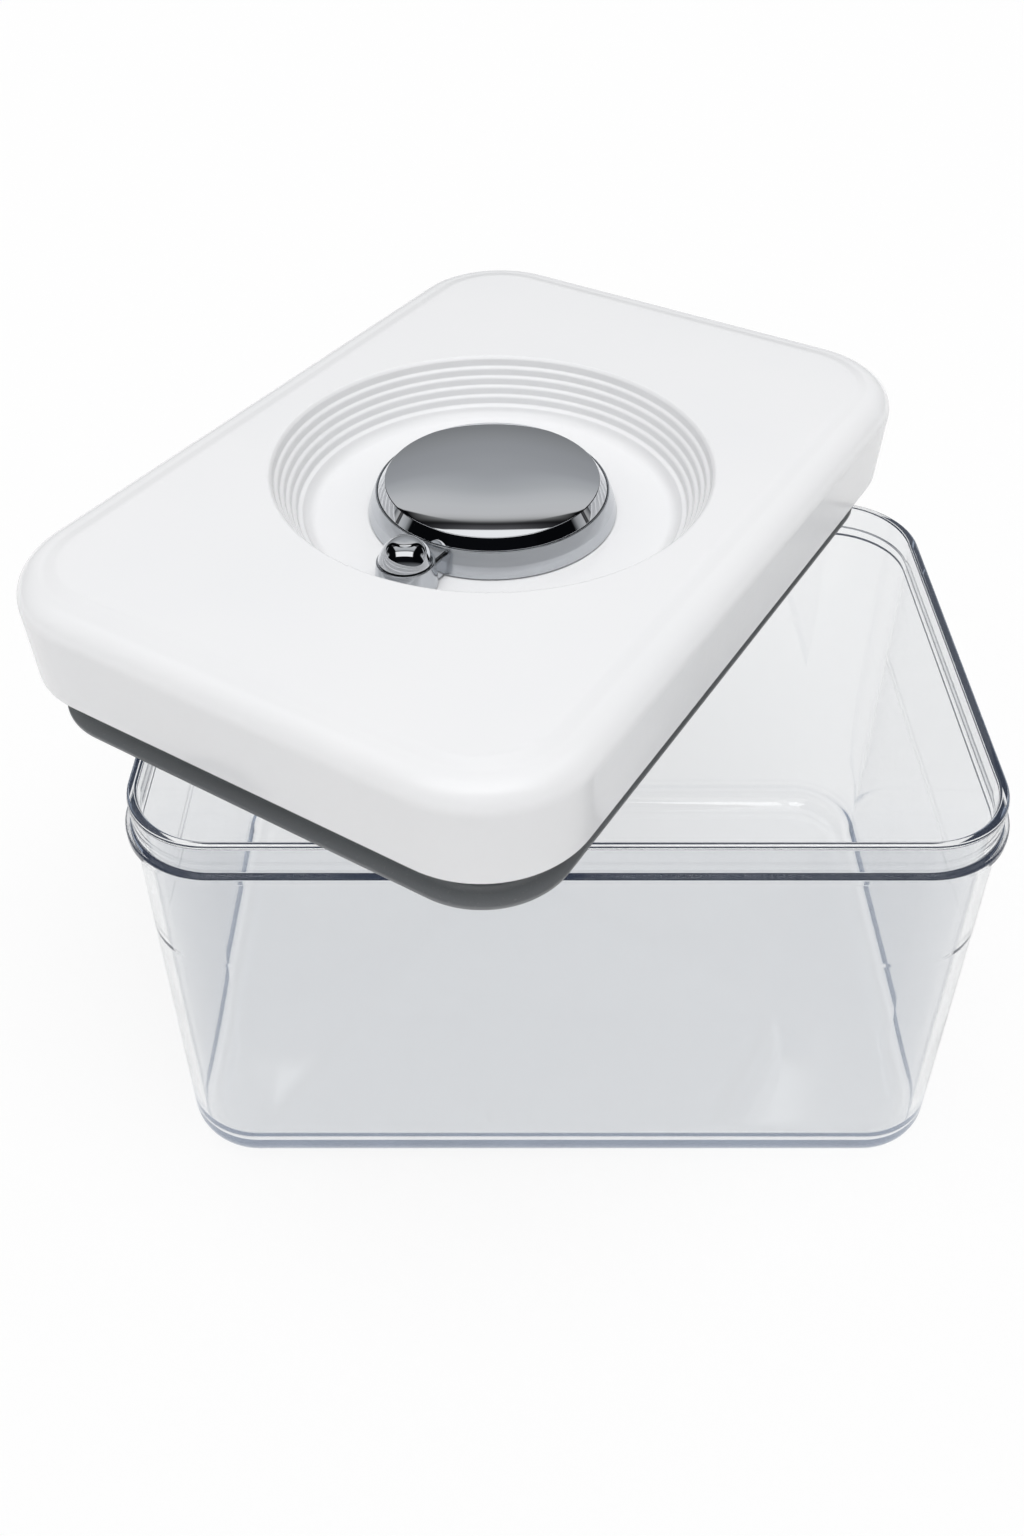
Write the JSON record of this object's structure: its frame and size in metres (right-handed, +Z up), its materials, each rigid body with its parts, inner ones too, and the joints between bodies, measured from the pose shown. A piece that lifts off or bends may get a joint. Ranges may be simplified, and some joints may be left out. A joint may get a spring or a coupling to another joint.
{
  "type": "airtight food storage jar",
  "caption": "Clear rectangular storage jar with a white vacuum lid, laid open on its rim: a chrome crank knob drives an inner pump and its domed top vents it.",
  "frame": {"origin": "middle of the tub's flat standing face", "axes": "+Z up, the way the lid lifts; +X along the tub's long side; +Y across it, away from the side that the picture shows in front"},
  "size_m": [0.192, 0.2008, 0.1325],
  "materials": {
    "clear_plastic": "clear glossy moulded copolyester",
    "white_plastic": "glossy moulded ABS",
    "grey_plastic": "satin moulded polypropylene",
    "dark_silicone": "matt moulded silicone",
    "pale_silicone": "matt moulded silicone",
    "chrome": "polished chrome plating",
    "satin_chrome": "satin chrome plating",
    "steel": "bright stainless steel",
    "acetal": "natural moulded acetal"
  },
  "bodies": {
    "tub": {"tub": "clear_plastic"},
    "lid": {"lid_cover": "white_plastic", "lid_tray": "grey_plastic", "gasket": "dark_silicone", "pump_cylinder_left": "grey_plastic", "pump_cylinder_right": "grey_plastic", "cylinder_screw_left_back": "steel", "cylinder_screw_left_front": "steel", "cylinder_screw_right_back": "steel", "cylinder_screw_right_front": "steel", "intake_valve_left": "pale_silicone", "intake_valve_right": "pale_silicone", "exhaust_valve_left": "pale_silicone", "exhaust_valve_right": "pale_silicone", "spindle_bush": "acetal"},
    "crank": {"knob_body": "satin_chrome", "post_cap": "chrome", "spindle": "steel", "spindle_clip": "steel", "pump_cam": "acetal", "vent_spring": "steel"},
    "button": {"vent_button": "chrome", "vent_stem": "steel", "vent_seal": "pale_silicone"},
    "piston": {"piston_yoke": "acetal", "piston_seal_left": "pale_silicone", "piston_seal_right": "pale_silicone"}
  },
  "joints": [
    {"name": "lid_lift", "type": "slide", "parent": "tub", "child": "lid", "axis": [0, 0, 1], "range_m": [0, 0.08]},
    {"name": "crank_turn", "type": "hinge", "parent": "lid", "child": "crank", "pos_m": [-0.0148, 0.0226, 0.1323], "axis": [0, 0, 1], "continuous": true},
    {"name": "button_press", "type": "slide", "parent": "crank", "child": "button", "axis": [0, 0, -1], "range_m": [0, 0.002], "stiffness_N_per_m": 800, "springref_m": -0.003, "deforming": ["vent_spring"]},
    {"name": "piston_stroke", "type": "slide", "parent": "lid", "child": "piston", "axis": [0.5255, 0.8508, 0], "range_m": [-0.003, 0.003]}
  ]
}
